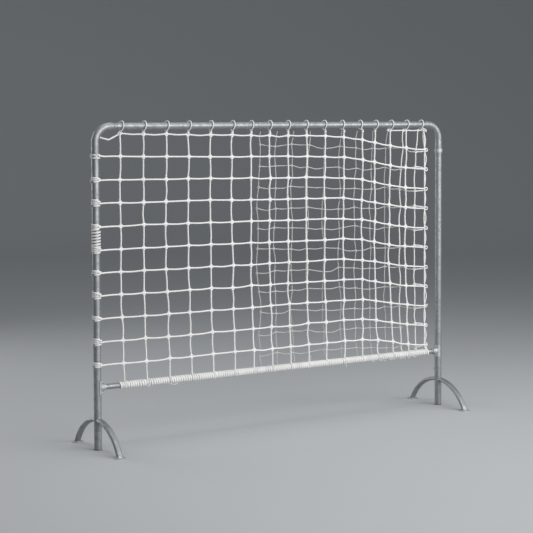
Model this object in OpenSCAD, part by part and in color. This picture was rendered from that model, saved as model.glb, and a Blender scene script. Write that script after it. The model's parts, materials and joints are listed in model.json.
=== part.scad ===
// Pitch back rebounder: a free-standing tube goal frame with a knotted rope net.
// +X runs along the frame, -Y is the playing side, +Z is up, and the floor is at z = 0.

/* [Frame] */
// Distance between the axes of the two uprights
frame_w = 2000; // [1600:50:2400]
// Height of the top rail's axis above the floor
frame_h = 1480; // [1300:20:1600]
// Outer diameter of the uprights and corner bends
upright_d = 35; // [32:1:38]
// Outer diameter of the top rail
top_rail_d = 32; // [31:1:34]
// Outer diameter of the bottom rail
bottom_rail_d = 25; // [22:1:28]
// Height of the bottom rail's axis above the floor
bottom_rail_z = 287; // [250:1:330]
// Wall of the uprights and bends
tube_wall = 2; // [1.5:0.1:2.4]
// Centreline radius of the corner bends
bend_r = 75; // [70:5:90]

/* [Joints in the frame] */
// Height of the seam between upright and corner bend
bend_seam_z = 1353; // [1340:1:1360]
// Distance from the upright's axis to the end of the top rail
rail_end_x = 108; // [106:1:116]
// Outer diameter of the collar at the top of each upright
collar_d = 41; // [40:0.5:43]
// Height of that collar
collar_h = 20; // [18:1:24]
// Diameter of the snap buttons
button_d = 9.6; // [9:0.1:10]
// How far a snap button stands out of the collar
button_proud = 4.5; // [3:0.5:5]

/* [Feet] */
// Height of the seam between upright and foot
foot_seam_z = 152; // [150:1:158]
// Centreline radius of the bow
bow_r = 240; // [236:1:246]
// Height of the bow's centreline at its crown
bow_top = 137; // [135:1:138]
// Width of the bow's flat-oval tube along X
bow_w = 30; // [28:0.5:30]
// Thickness of the bow's flat-oval tube
bow_t = 18; // [16:0.5:18]
// Diameter of the round pads
pad_d = 57; // [52:1:60]
// Thickness of the round pads
pad_t = 4; // [4:0.5:5]
// Distance from the upright's axis to the pads
pad_y = 213; // [210:1:216]

/* [Net] */
// Diameter of the net's cord
cord_d = 7; // [6:0.5:7]
// Rows of knots in the front net
net_rows_n = 11; // [9:1:11]
// Height of the first row at the left upright
row_top_left = 1447; // [1440:1:1450]
// Height of the first row at the right edge
row_top_right = 1350; // [1340:1:1440]
// Row spacing at the left upright
row_pitch_left = 105.8; // [100:0.1:106]
// Row spacing at the right edge
row_pitch_right = 102.4; // [98:0.1:104]
// Left-most column of the front net
first_column_x = -864; // [-870:1:-860]
// Right edge of the net
net_edge_x = 912; // [905:1:915]
// Place along the frame where the rows begin to sink
sink_x = 330; // [300:10:400]
// How far the rear layer of the net hangs behind the front one
rear_y = 27; // [26:1:40]
// Columns in the rear layer
rear_columns_n = 11; // [6:1:11]
// Spacing of the rear layer's columns
rear_pitch = 97; // [90:1:97]

/* [Hidden] */

$fn = 64;

// Radii and play
upright_r = upright_d / 2;
bore_r = upright_r - tube_wall;
play = 0.08;            // running clearance of a post in its upright
seam = 0.3;             // gap between pieces of different bodies
hair = 0.05;            // gap between welded pieces
over = 1;               // how far a cutter passes its workpiece
half_w = frame_w / 2;

// Corner bend: plug into the upright, neck into the top rail
plug_r = bore_r - 0.2;
plug_wall = 2.4;
plug_len = 78;
neck_r = top_rail_d / 2 - 1.6;
neck_wall = 1.9;
neck_from = 96;         // distance from the upright's axis where the neck begins
neck_taper = 12;
neck_depth = 60;        // length of neck inside the rail
rail_wall = 1.5;

// Snap buttons
button_z = bend_seam_z - collar_h / 2;
button_tip = collar_d / 2 + button_proud;
button_travel = button_tip - plug_r + 0.1;
flange_d = 11;
flange_t = 1;
flange_out = 11.2;      // outer face of the flange, from the axis
button_hole_d = button_d + 2 * seam;
spring_w = 8;
spring_t = 0.8;
spring_r = 9.6;         // half the clip's width at its legs
spring_drop = 44;       // from the buttons down to the fold's centre

// Bottom rail saddle and its screws
saddle_t = 3;
saddle_len = 62;
saddle_out = upright_r + hair + saddle_t;
saddle_edge = 2;        // distance from the upright's axis to the half shell's edges
saddle_root = 12;       // where the socket and lugs begin, inside the shell
socket_end = 39;        // distance from the upright's axis to the socket's mouth
socket_d = 36;
socket_mouth_d = 31;
rail_start = upright_r + 4;
screw_dz = 24;          // screws above and below the rail
screw_d = 6;
screw_tip = 11;         // distance from the upright's axis to the screws' tips
lug_d = 17;
lug_out = saddle_out + 2;
washer_d = 12;
washer_t = 1.5;
head_af = 10;
head_t = 5;

// Foot post, its locking screw and nut
post_plug_r = bore_r - play;
post_plug_top = 250;
post_wall = 2;
groove_z = 186;
groove_depth = 1.3;
groove_h = 9;
foot_screw_d = 8;
foot_head_af = 13;
foot_head_t = 5.5;
nut_af = 16;
nut_t = 7;
nut_root = 12;          // where the nut begins, inside the upright's outline
cap_t = 3;
cap_d = upright_d + 2.5;
cap_plug_h = 14;
bow_z = bow_top - bow_r;
bow_wall = 2.5;
bow_sweep = 66;         // half of the bow's arc, in degrees

// Net
cord_r = cord_d / 2;
cord_gap = cord_r + 0.3;    // rows and columns lie this far each side of the net's plane
loop_cord_r = 3.2;
loop_r = top_rail_d / 2 + loop_cord_r + 1.8;
lash_cord_r = 3;
lash_r = upright_r + lash_cord_r + 0.1;
wrap_d = bottom_rail_d + 5.5;
wrap_left_x = -888;
wrap_right_x = 925;
row_end_in = 6;         // rows end this far short of the edge cord's axis
last_loop_in = 4;       // the edge's loop hangs this far inwards
net_top = frame_h - loop_r - loop_cord_r - 0.3;
net_bottom = bottom_rail_z + wrap_d / 2 + 0.3;
rear_rise = 35;         // from the right edge to the left, a rear row rises by this much
rear_first = 48;        // from the edge to the rear layer's first column
rear_end = 12;          // rear columns pass the last row and stop short of the rail by this much
// Column spacing in four zones, from left to right: [how many, spacing]
ZONES = [[5, 120], [5, 108], [2, 112], [4, 100]];
column_steps = [for (z = ZONES) for (i = [1:z[0]]) z[1]];

function column_x(j) = j == 0 ? first_column_x : column_x(j - 1) + column_steps[j - 1];
function row_left(i) = row_top_left - i * row_pitch_left;
function row_right(i) = row_top_right - i * row_pitch_right;
// The first row ends short of the bend and the second short of the snap button
function row_start(i) = -half_w + (i == 0 ? 54 : i == 1 ? 32 : lash_r + lash_cord_r + 0.5);
function row_sink(i) = row_left(i) - 22 - i * 0.9;
function rear_row_left(i) = row_right(i) + rear_rise;
function rear_column_x(k) = net_edge_x - rear_first - k * rear_pitch;

// A round bar from p to q
module bar(p, q, r) {
    d = q - p;
    translate(p) rotate([0, acos(d[2] / norm(d)), atan2(d[1], d[0])]) cylinder(r = r, h = norm(d));
}

// Places a piece at the left upright, or mirrored at the right one; +x points to the frame's middle
module at_side(side) {
    translate([side * half_w, 0, 0]) mirror([side > 0 ? 1 : 0, 0, 0]) children();
}

// A round bar along +x
module along_x(r, x0, x1, r2 = -1) {
    translate([x0, 0, 0]) rotate([0, 90, 0]) cylinder(r1 = r, r2 = r2 < 0 ? r : r2, h = x1 - x0);
}

// A hexagonal bar along z
module hexagon(af, h) {
    cylinder(d = af / cos(30), h = h, $fn = 6);
}

module tube(r, wall, z0, z1) {
    translate([0, 0, z0]) difference() {
        cylinder(r = r, h = z1 - z0);
        translate([0, 0, -over]) cylinder(r = r - wall, h = z1 - z0 + 2 * over);
    }
}

module upright(side) {
    color("silver") at_side(side) difference() {
        tube(upright_r, tube_wall, foot_seam_z, bend_seam_z);
        translate([0, 0, button_z]) along_x(button_hole_d / 2, -upright_r - over, upright_r + over);
        for (dz = [-screw_dz, screw_dz])
            translate([0, 0, bottom_rail_z + dz]) along_x(screw_d / 2 + hair, 0, upright_r + over);
        translate([0, 0, groove_z]) rotate([0, 0, 90])
            along_x(foot_screw_d / 2 + hair, 0, upright_r + over);
    }
}

module collar(side) {
    color("gainsboro") at_side(side) difference() {
        tube(collar_d / 2, collar_d / 2 - upright_r - hair, bend_seam_z - collar_h, bend_seam_z);
        translate([0, 0, button_z]) along_x(button_hole_d / 2, -collar_d, collar_d);
    }
}

// Quarter ring from straight down to straight inwards, about the bend's centre
module bend_arc(r) {
    translate([bend_r, 0, frame_h - bend_r]) rotate([90, 0, 0]) rotate([0, 0, 90])
        rotate_extrude(angle = 90) translate([bend_r, 0]) circle(r = r);
}

// Everything inside radius r of the bend's path between the plug's shoulder and the taper's end
module bend_solid(r, r_neck, z0, x1) {
    translate([0, 0, z0]) cylinder(r = r, h = frame_h - bend_r - z0);
    bend_arc(r);
    translate([0, 0, frame_h]) {
        along_x(r, bend_r, neck_from - neck_taper);
        along_x(r, neck_from - neck_taper, neck_from, r_neck);
        along_x(r_neck, neck_from, x1);
    }
}

module corner_bend(side) {
    neck_end = rail_end_x + neck_depth;
    color("silver") at_side(side) difference() {
        union() {
            bend_solid(upright_r, neck_r, bend_seam_z + hair, neck_end);
            translate([0, 0, bend_seam_z - plug_len]) cylinder(r = plug_r, h = plug_len + over);
        }
        bend_solid(bore_r, neck_r - neck_wall, bend_seam_z + plug_wall, neck_end + over);
        translate([0, 0, bend_seam_z - plug_len - over])
            cylinder(r = plug_r - plug_wall, h = plug_len + plug_wall + 2 * over);
        translate([0, 0, button_z]) along_x(button_hole_d / 2, -upright_r, upright_r);
    }
}

module top_rail() {
    end = half_w - rail_end_x;
    color("silver") translate([0, 0, frame_h]) difference() {
        along_x(top_rail_d / 2, -end, end);
        along_x(top_rail_d / 2 - rail_wall, -end - over, end + over);
    }
}

module bottom_rail() {
    end = half_w - rail_start;
    color("silver") translate([0, 0, bottom_rail_z]) difference() {
        along_x(bottom_rail_d / 2, -end, end);
        along_x(bottom_rail_d / 2 - rail_wall, -end - over, end + over);
    }
}

// Half shell round the upright, with a tapered socket for the rail and a lug for each screw
module rail_saddle(side) {
    color("darkgray") at_side(side) translate([0, 0, bottom_rail_z]) difference() {
        union() {
            intersection() {
                translate([0, 0, -saddle_len / 2]) cylinder(r = saddle_out, h = saddle_len);
                translate([saddle_edge, -saddle_out, -saddle_len / 2])
                    cube([saddle_out, 2 * saddle_out, saddle_len]);
            }
            along_x(socket_d / 2, saddle_root, socket_end, socket_mouth_d / 2);
            for (dz = [-screw_dz, screw_dz]) translate([0, 0, dz]) along_x(lug_d / 2, saddle_root, lug_out);
        }
        translate([0, 0, -saddle_len]) cylinder(r = upright_r + hair, h = 2 * saddle_len);
        along_x(bottom_rail_d / 2 + hair, 0, socket_end + over);
        for (dz = [-screw_dz, screw_dz])
            translate([0, 0, dz]) along_x(screw_d / 2 + 0.2, 0, lug_out + over);
    }
}

module saddle_screws(side) {
    color("lightgray") at_side(side)
        for (dz = [-screw_dz, screw_dz]) translate([0, 0, bottom_rail_z + dz]) {
            along_x(screw_d / 2, screw_tip, lug_out + 1);
            along_x(washer_d / 2, lug_out + hair, lug_out + washer_t);
            translate([lug_out + washer_t - 0.1, 0, 0]) rotate([0, 90, 0]) hexagon(head_af, head_t);
        }
}

// U-shaped leaf clip inside the bend's plug
module snap_spring(side) {
    color("dimgray") at_side(side) translate([0, 0, button_z - spring_drop]) {
        rotate([90, 0, 0]) translate([0, 0, -spring_w / 2]) rotate([0, 0, 180])
            rotate_extrude(angle = 180) translate([spring_r - spring_t, 0]) square([spring_t, spring_w]);
        for (s = [0, 180]) rotate([0, 0, s])
            translate([spring_r - spring_t, -spring_w / 2, -0.01])
                cube([spring_t, spring_w, spring_drop + 5]);
    }
}

// Domed button on its flange; turn is 0 for the inner side of the upright and 180 for the outer
module snap_button(side, turn) {
    dome_r = button_d * 0.8;
    dome_z = button_tip - dome_r;
    color("whitesmoke") at_side(side) translate([0, 0, button_z]) rotate([0, 90, turn]) rotate_extrude() {
        translate([0, flange_out - flange_t]) square([flange_d / 2, flange_t]);
        translate([0, flange_out - flange_t / 2]) square([button_d / 2, dome_z - flange_out + flange_t / 2]);
        intersection() {
            translate([0, dome_z - over]) square([button_d / 2, dome_r + 2 * over]);
            translate([0, dome_z]) circle(r = dome_r);
        }
    }
}

module foot_nut(side) {
    color("lightgray") at_side(side) translate([0, 0, groove_z]) rotate([0, 0, 90]) difference() {
        translate([nut_root, 0, 0]) rotate([0, 90, 0]) hexagon(nut_af, upright_r + nut_t - nut_root);
        translate([0, 0, -nut_af]) cylinder(r = upright_r + hair, h = 2 * nut_af);
        along_x(foot_screw_d / 2 + hair, 0, upright_r + nut_t + over);
    }
}

module foot_screw(side) {
    head_x = upright_r + nut_t + hair;
    color("lightgray") at_side(side) translate([0, 0, groove_z]) rotate([0, 0, 90]) {
        along_x(foot_screw_d / 2, post_plug_r - groove_depth + seam, head_x + 1);
        translate([head_x, 0, 0]) rotate([0, 90, 0]) hexagon(foot_head_af, foot_head_t);
    }
}

// Flat-oval outline of the bow's tube: x is measured from the bow's centre, y along the frame
module bow_outline(inset) {
    t = bow_t - 2 * inset;
    w = bow_w - 2 * inset;
    translate([bow_r, 0]) {
        square([t, w - t], center = true);
        for (s = [-1, 1]) translate([0, s * (w - t) / 2]) circle(d = t);
    }
}

// The bow's arc about its centre below the floor, ending level with the pads' upper faces
module bow_arc(inset) {
    translate([0, 0, bow_z]) rotate([90, 0, 90]) rotate([0, 0, 90 - bow_sweep])
        rotate_extrude(angle = 2 * bow_sweep, $fn = 96) bow_outline(inset);
}

module foot_post(side) {
    color("silver") at_side(side) difference() {
        union() {
            translate([0, 0, cap_t + 1])
                cylinder(r = upright_r, h = foot_seam_z - seam - cap_t - 1);
            cylinder(r = post_plug_r, h = post_plug_top);
        }
        translate([0, 0, -over]) cylinder(r = upright_r + over, h = cap_t + 1 + over);
        translate([0, 0, -over]) cylinder(r = bore_r, h = bow_top + bow_t / 2 + 1 + over);
        cylinder(r = post_plug_r - post_wall, h = post_plug_top + over);
        translate([0, 0, groove_z]) difference() {
            translate([0, 0, -groove_h / 2]) cylinder(r = upright_r, h = groove_h);
            translate([0, 0, -groove_h]) cylinder(r = post_plug_r - groove_depth, h = 2 * groove_h);
        }
        bow_arc(-0.1);
    }
}

module foot_bow(side) {
    color("silver") at_side(side) difference() {
        bow_arc(0);
        bow_arc(bow_wall);
        translate([-bow_w, -bow_r, -bow_r]) cube([2 * bow_w, 2 * bow_r, bow_r + pad_t + hair]);
    }
}

module foot_pads(side) {
    color("gainsboro") at_side(side)
        for (s = [-1, 1]) translate([0, s * pad_y, 0]) {
            cylinder(d = pad_d, h = pad_t * 0.6);
            translate([0, 0, pad_t * 0.6]) cylinder(d1 = pad_d, d2 = pad_d - 4, h = pad_t * 0.4);
        }
}

module post_cap(side) {
    color("gray") at_side(side) translate([0, 0, 1]) {
        cylinder(d = cap_d, h = cap_t);
        cylinder(r = bore_r - 0.1, h = cap_t + cap_plug_h);
    }
}

// Front net: each row is level from the left upright to sink_x, then sinks to the right edge
module net_rows() {
    color("white") for (i = [0:net_rows_n - 1]) {
        bar([row_start(i), -cord_gap, row_left(i)], [sink_x - hair, -cord_gap, row_sink(i)], cord_r);
        bar([sink_x + 1, -cord_gap, row_sink(i)], [net_edge_x - row_end_in, -cord_gap, row_right(i)], cord_r);
    }
}

module net_columns() {
    color("white") for (j = [0:len(column_steps) - 1])
        bar([column_x(j), cord_gap, net_bottom], [column_x(j), cord_gap, net_top], cord_r);
}

module net_edge_cord() {
    color("white")
        bar([net_edge_x, 0, net_bottom], [net_edge_x, 0, frame_h - upright_r - 1], cord_r);
}

// Short ties from the edge cord back to the rear layer, one for each row
module net_fold_links() {
    color("white") for (i = [0:net_rows_n - 1])
        bar([net_edge_x, cord_r + 0.3, row_right(i)],
            [net_edge_x, rear_y + cord_gap, row_right(i)], cord_r);
}

module rear_net_rows() {
    color("gainsboro") for (i = [0:net_rows_n - 1])
        bar([rear_column_x(rear_columns_n - 1), rear_y - cord_gap, rear_row_left(i)],
            [net_edge_x - row_end_in, rear_y - cord_gap, row_right(i)], cord_r);
}

module rear_net_columns() {
    color("gainsboro") for (k = [0:rear_columns_n - 1])
        bar([rear_column_x(k), rear_y + cord_gap, row_right(net_rows_n - 1) - rear_end],
            [rear_column_x(k), rear_y + cord_gap, frame_h - top_rail_d / 2 - rear_end], cord_r);
}

module ring(r, cord) {
    rotate_extrude() translate([r, 0]) circle(r = cord);
}

// One loop of cord over the top rail for each column
module hanging_loops() {
    color("white") for (j = [0:len(column_steps)])
        translate([column_x(j) - (j == len(column_steps) ? last_loop_in : 0), 0, frame_h])
            rotate([0, 90, 0]) ring(loop_r, loop_cord_r);
}

// Two turns round the left upright at each row below the bend
module side_lashing() {
    color("white") for (i = [2:net_rows_n - 1]) for (s = [-1, 1])
        translate([-half_w, 0, row_left(i) + s * (lash_cord_r + 0.1)]) ring(lash_r, lash_cord_r);
}

// The rope wound round the bottom rail, as its outer sleeve
module bottom_lashing() {
    color("white") translate([0, 0, bottom_rail_z]) difference() {
        along_x(wrap_d / 2, wrap_left_x, wrap_right_x);
        along_x(bottom_rail_d / 2 + hair, wrap_left_x - over, wrap_right_x + over);
    }
}

upright(-1);  // upright_left
upright(1);  // upright_right
collar(-1);  // collar_left
collar(1);  // collar_right
corner_bend(-1);  // corner_bend_left
corner_bend(1);  // corner_bend_right
top_rail();
bottom_rail();
rail_saddle(-1);  // rail_saddle_left
rail_saddle(1);  // rail_saddle_right
saddle_screws(-1);  // saddle_screws_left
saddle_screws(1);  // saddle_screws_right
snap_spring(-1);  // snap_spring_left
snap_spring(1);  // snap_spring_right
snap_button(-1, 180);  // snap_button_left_outer
snap_button(-1, 0);  // snap_button_left_inner
snap_button(1, 0);  // snap_button_right_inner
snap_button(1, 180);  // snap_button_right_outer
foot_nut(-1);  // foot_nut_left
foot_nut(1);  // foot_nut_right
foot_screw(-1);  // foot_screw_left
foot_screw(1);  // foot_screw_right
foot_post(-1);  // foot_post_left
foot_post(1);  // foot_post_right
foot_bow(-1);  // foot_bow_left
foot_bow(1);  // foot_bow_right
foot_pads(-1);  // foot_pads_left
foot_pads(1);  // foot_pads_right
post_cap(-1);  // post_cap_left
post_cap(1);  // post_cap_right
net_rows();
net_columns();
net_edge_cord();
net_fold_links();
rear_net_rows();
rear_net_columns();
hanging_loops();
side_lashing();
bottom_lashing();
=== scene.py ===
"""Pitch back rebounder: the knotted net, its lashings and every finish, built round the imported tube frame."""

import json
import math

import bpy
import numpy as np
from mathutils import Matrix, Vector


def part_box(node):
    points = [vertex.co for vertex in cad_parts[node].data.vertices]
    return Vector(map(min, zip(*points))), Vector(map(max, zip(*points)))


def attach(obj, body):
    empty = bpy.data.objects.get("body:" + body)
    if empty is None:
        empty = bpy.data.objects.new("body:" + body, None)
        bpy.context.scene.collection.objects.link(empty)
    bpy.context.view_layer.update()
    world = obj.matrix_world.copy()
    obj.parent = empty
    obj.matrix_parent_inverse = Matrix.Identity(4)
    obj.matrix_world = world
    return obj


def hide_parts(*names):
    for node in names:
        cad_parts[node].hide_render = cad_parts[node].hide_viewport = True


bl_info = {
    "name": "Pitch back rebounder",
    "version": (1, 0, 0),
    "blender": (4, 5, 0),
    "location": "View3D > Sidebar > Rebounder",
    "description": "Ties the knotted net on to the tube frame and gives each piece its finish",
    "category": "Add Mesh",
}

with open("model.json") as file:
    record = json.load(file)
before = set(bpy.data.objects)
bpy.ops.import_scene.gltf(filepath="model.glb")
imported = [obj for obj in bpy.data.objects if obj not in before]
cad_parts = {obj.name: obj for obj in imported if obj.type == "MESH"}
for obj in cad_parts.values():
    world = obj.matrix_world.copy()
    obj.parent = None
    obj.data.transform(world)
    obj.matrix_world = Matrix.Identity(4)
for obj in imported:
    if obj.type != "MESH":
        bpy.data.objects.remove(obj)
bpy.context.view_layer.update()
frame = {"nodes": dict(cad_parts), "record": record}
MM = 0.001
SEED = 11
CORD_STEP = 9 * MM  # spacing of the points along a net cord
EDGE_SHARE = 0.42  # radius of the free edge's cords, as a share of the net cord's diameter
FACING = (0, 1, 0)  # the way a net cord's section faces
WAVE_LENGTH = 0.314  # distance between the bands of a wave pattern whose scale is 1


# ---------------------------------------------------------------- places read from the frame


def middles(node, axis, gap, keep=None):
    """Middle of each separate solid of a node along one axis: its vertices in order, split where they leave a
    gap."""
    co = np.array([v.co for v in frame["nodes"][node].data.vertices])
    if keep is not None:
        co = co[keep(co)]
    along = np.sort(co[:, axis])
    parts = np.split(along, np.flatnonzero(np.diff(along) > gap) + 1)
    return np.array([(p[0] + p[-1]) / 2 for p in parts])


def box_middle(node):
    """Middle of a node's box."""
    low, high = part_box(node)
    return np.array((low + high) / 2)


def box_size(node):
    """Size of a node's box."""
    low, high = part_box(node)
    return np.array(high - low)


LEFT_X = box_middle("upright_left")[0]
RIGHT_X = box_middle("upright_right")[0]
UPRIGHT_R = box_size("upright_left")[1] / 2
COLLAR_R = box_size("collar_left")[1] / 2
COLLAR_Z = box_middle("collar_left")[2]
RAIL_Z = box_middle("top_rail")[2]
RAIL_R = box_size("top_rail")[1] / 2
LOW_RAIL_Z = box_middle("bottom_rail")[2]
LOW_RAIL_R = box_size("bottom_rail")[1] / 2
WRAP_R = box_size("bottom_lashing")[1] / 2
WRAP_FROM, WRAP_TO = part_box("bottom_lashing")[0][0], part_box("bottom_lashing")[1][0]
HOOK_X = middles("hanging_loops", 0, 0.02)
COLUMN_X = middles("net_columns", 0, 0.02)
EDGE_X = box_middle("net_edge_cord")[0]
ROW_LEFT_Z = middles("net_rows", 2, 0.03, lambda co: co[:, 0] < -0.9)[::-1]
ROW_RIGHT_Z = middles("net_fold_links", 2, 0.03)[::-1]
REAR_X = middles("rear_net_columns", 0, 0.02)[::-1]
REAR_Y = box_middle("rear_net_rows")[1]
REAR_LEFT_Z = middles("rear_net_rows", 2, 0.03, lambda co: co[:, 0] < 0.2)[::-1]
ROWS = len(ROW_LEFT_Z)
NECK_Z = RAIL_Z - RAIL_R - 14 * MM  # where the columns begin, below the top rail
BOW_THICK = 18 * MM
PAD_R = 28.5 * MM
OVAL_POINTS = 44  # points round the outline of a bow's section


# ---------------------------------------------------------------- small tools for shapes


def linear(hex_colour):
    """sRGB hex colour as linear red, green, blue and alpha."""
    srgb = np.array([int(hex_colour[i : i + 2], 16) for i in (1, 3, 5)]) / 255
    values = np.where(srgb <= 0.04045, srgb / 12.92, ((srgb + 0.055) / 1.055) ** 2.4)
    return (*values.tolist(), 1.0)


def ease(t):
    """0 below 0, 1 above 1, and 3t^2 - 2t^3 between."""
    t = np.clip(t, 0, 1)
    return t * t * (3 - 2 * t)


def round_angles(count):
    """Angles of one full turn, in equal steps."""
    return np.arange(count) * 2 * math.pi / count


def through(points, spacing):
    """Catmull-Rom curve through the points: on each span, a cubic whose end slopes are half the chord of the
    neighbouring points. Each span has two steps or more, so many that they are no longer than the spacing."""
    p = np.asarray(points, float)
    p = np.concatenate([2 * p[:1] - p[1:2], p, 2 * p[-1:] - p[-2:-1]])
    spans = np.linalg.norm(np.diff(p[1:-1], axis=0), axis=1)
    steps = np.maximum(2, np.ceil(spans / spacing)).astype(int)
    at = np.repeat(np.arange(len(steps)), steps)
    first = np.repeat(np.cumsum(steps) - steps, steps)
    t = ((np.arange(len(at)) - first) / steps[at])[:, None]
    a, b, c, d = p[at], p[at + 1], p[at + 2], p[at + 3]
    curve = b + 0.5 * t * (c - a + t * (2 * a - 5 * b + 4 * c - d + t * (3 * (b - c) + d - a)))
    return np.concatenate([curve, p[-2:-1]])


class Skein:
    """Cords gathered into one mesh: their points, faces and unrolled lengths."""

    def __init__(self):
        self.points, self.faces, self.unrolled = [], [], []
        self.count = 0

    def cord(self, path, radius, towards, sides=8, closed=False, flat=1.0):
        """A round section carried along a path. At each point the section's plane is square to the path, its
        width is across `towards` and its thickness along it; flat scales the thickness. Ends are closed by a
        flat face."""
        path = np.asarray(path, float)
        if closed:
            along = np.roll(path, -1, axis=0) - np.roll(path, 1, axis=0)
        else:
            along = np.gradient(path, axis=0)
        along /= np.linalg.norm(along, axis=1, keepdims=True)
        towards = np.broadcast_to(np.asarray(towards, float), path.shape)
        across = np.cross(along, towards)
        across /= np.linalg.norm(across, axis=1, keepdims=True)
        rise = np.cross(across, along)
        turn = round_angles(sides)
        width, height = np.cos(turn)[None, :, None], flat * np.sin(turn)[None, :, None]
        section = width * across[:, None] + height * rise[:, None]
        radius = np.broadcast_to(np.asarray(radius, float), len(path))
        points = path[:, None] + radius[:, None, None] * section
        rings = len(path)
        ring = np.arange(rings if closed else rings - 1)[:, None]
        side = np.arange(sides)[None, :]
        after, beside = (ring + 1) % rings, (side + 1) % sides
        corners = [ring * sides + side, ring * sides + beside, after * sides + beside, after * sides + side]
        quads = np.stack([np.broadcast_to(c, (len(ring), sides)) for c in corners], axis=-1).reshape(-1, 4)
        steps = np.linalg.norm(np.diff(path, axis=0, append=path[:1]), axis=1)
        length = np.concatenate([[0], np.cumsum(steps)])
        u = np.stack([side, side + 1, side + 1, side], axis=-1) / sides + 0 * ring[..., None]
        v = [length[ring], length[ring], length[ring + 1], length[ring + 1]]
        v = np.stack(v, axis=-1) + 0 * side[..., None]
        self.points.append(points.reshape(-1, 3))
        self.faces += (quads + self.count).tolist()
        self.unrolled.append(np.stack([u, v], axis=-1).reshape(-1, 2))
        if not closed:
            last = (rings - 1) * sides
            self.faces.append((self.count + np.arange(sides)[::-1]).tolist())
            self.faces.append((self.count + last + np.arange(sides)).tolist())
            self.unrolled.append(np.zeros((2 * sides, 2)))
        self.count += rings * sides

    def piece(self, name, finish, body, slot, replaced=()):
        """One smooth-shaded object of all the cords, riding on a body."""
        mesh = bpy.data.meshes.new(name)
        mesh.from_pydata(np.concatenate(self.points).tolist(), [], self.faces)
        mesh.uv_layers.new(name="unrolled").data.foreach_set("uv", np.concatenate(self.unrolled).ravel())
        mesh.polygons.foreach_set("use_smooth", [True] * len(mesh.polygons))
        mesh.materials.append(finish)
        made = bpy.data.objects.new(name, mesh)
        bpy.context.collection.objects.link(made)
        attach(made, body)
        for node in replaced:
            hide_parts(node)


def knot(skein, at, reach, cord, turn, sides=5):
    """A drawn-up mesh knot: one strand round the crossing, through eight points on a diamond whose corners
    lie on the four cords, over one cord and under the next."""
    angle = round_angles(8)
    corner = np.arange(8) % 2 == 0
    out = np.where(corner, reach, reach * 0.74)
    height = np.where(corner, np.cos(2 * angle), 0) * cord * 0.5
    ring = np.stack([out * np.cos(angle + turn), height, out * np.sin(angle + turn)], axis=1)
    skein.cord(at + ring, cord / 2, (0, 1, 0), sides, closed=True)


def swelling(path, knots, share=0.3, reach=9 * MM):
    """How much thicker a cord is at each point of its path: 1 and a bell-shaped rise at each knot, where its
    strands are drawn together."""
    near = np.linalg.norm(path[:, None] - knots[None], axis=2).min(axis=1)
    return 1 + share * np.exp(-((near / reach) ** 2))


# ---------------------------------------------------------------- the net's shape


def row_height(i, x):
    """Height of row i at x: a slight even fall from the left upright, then an eased sink to the free right
    edge."""
    left, right = ROW_LEFT_Z[i], ROW_RIGHT_Z[i]
    fall = 0.030 * (1 - i / (ROWS - 1))
    level = left - fall * (x - LEFT_X) / (EDGE_X - LEFT_X)
    start = 0.26 + 0.02 * i  # the lower the row, the further right its sink begins
    reach = EDGE_X + 0.05 - start  # the sink levels out just past the edge
    share = ease((x - start) / reach) / ease((EDGE_X - start) / reach)
    return level - (left - fall - right) * share


def front_knots(rng):
    """Knots of the front net, as an array of rows by columns by x, y, z. Columns lean by some millimetres,
    given at a few stations across the net, mostly to the lashed side, and come upright again at the rope; the
    net bellies back between its rails as half a sine wave, and each knot has a few millimetres of its own."""
    x = np.concatenate([COLUMN_X, [EDGE_X]])
    down = (np.arange(ROWS) + 1) / (ROWS + 1)
    stations = [LEFT_X, 0.17, 0.39, 0.50, 0.60, 0.70, 0.80, EDGE_X]
    lean = np.interp(x, stations, [-9, -7, 0, 4, -16, -22, -16, 0])
    grid = np.zeros((ROWS, len(x), 3))
    grid[..., 0] = x + lean * MM * (1 - ease((down - 0.6) / 0.5))[:, None]
    top, belly, forward = -0.004, 0.012, 0.008
    grid[..., 1] = top + belly * np.sin(math.pi * down)[:, None] - forward * down[:, None]
    grid[..., 2] = np.stack([row_height(i, x) for i in range(ROWS)])
    grid[:, :-1] += rng.normal(0, 1, grid[:, :-1].shape) * (1.5 * MM, 2.0 * MM, 1.5 * MM)
    return grid


def rear_knots(rng):
    """Knots of the spare net that is folded back behind the right half, by rows and columns. Each row leaves
    the edge a centimetre above or below its front row and runs nearly level to its own left end, waving as it
    goes."""
    rows = len(REAR_LEFT_Z)
    down = (np.arange(rows) + 1) / (rows + 1)
    share = (EDGE_X - REAR_X) / (EDGE_X - REAR_X[-1])
    grid = np.zeros((rows, len(REAR_X), 3))
    aside, top = 0.006, 0.014
    grid[..., 0] = REAR_X - aside * np.sin(math.pi * down)[:, None]
    grid[..., 1] = top + (REAR_Y - top) * np.sin(math.pi * down)[:, None]
    grid[..., 2] = ROW_RIGHT_Z[:, None] + (REAR_LEFT_Z - ROW_RIGHT_Z)[:, None] * share
    grid[:, 0, 2] += np.where(np.arange(rows) % 2 == 0, -13, 10) * MM
    grid[:, 1:] += rng.normal(0, 1, grid[:, 1:].shape) * (3.5 * MM, 3.0 * MM, 5.0 * MM)
    return grid


def slack(knots, rng, droop, sway):
    """A cord's points: its knots, and between each two of them a middle point that droops and sways."""
    middle = (knots[1:] + knots[:-1]) / 2
    middle = middle + rng.normal(0, 1, middle.shape) * sway
    middle[:, 2] -= droop * rng.uniform(0.3, 1.6, len(middle))
    points = np.empty((len(knots) * 2 - 1, 3))
    points[::2], points[1::2] = knots, middle
    return points


def turns_round(centre_x, z_from, z_to, radius, turns, start, steps=20):
    """Turns of cord round an upright: x and y on a circle, clockwise from above, and z running evenly from
    one height to the other. start is the angle in degrees from +x."""
    t = np.linspace(0, 1, int(steps * turns) + 1)
    angle = math.radians(start) - 2 * math.pi * turns * t
    height = z_from + (z_to - z_from) * t
    return np.stack([centre_x + radius * np.cos(angle), radius * np.sin(angle), height], axis=1)


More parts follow.
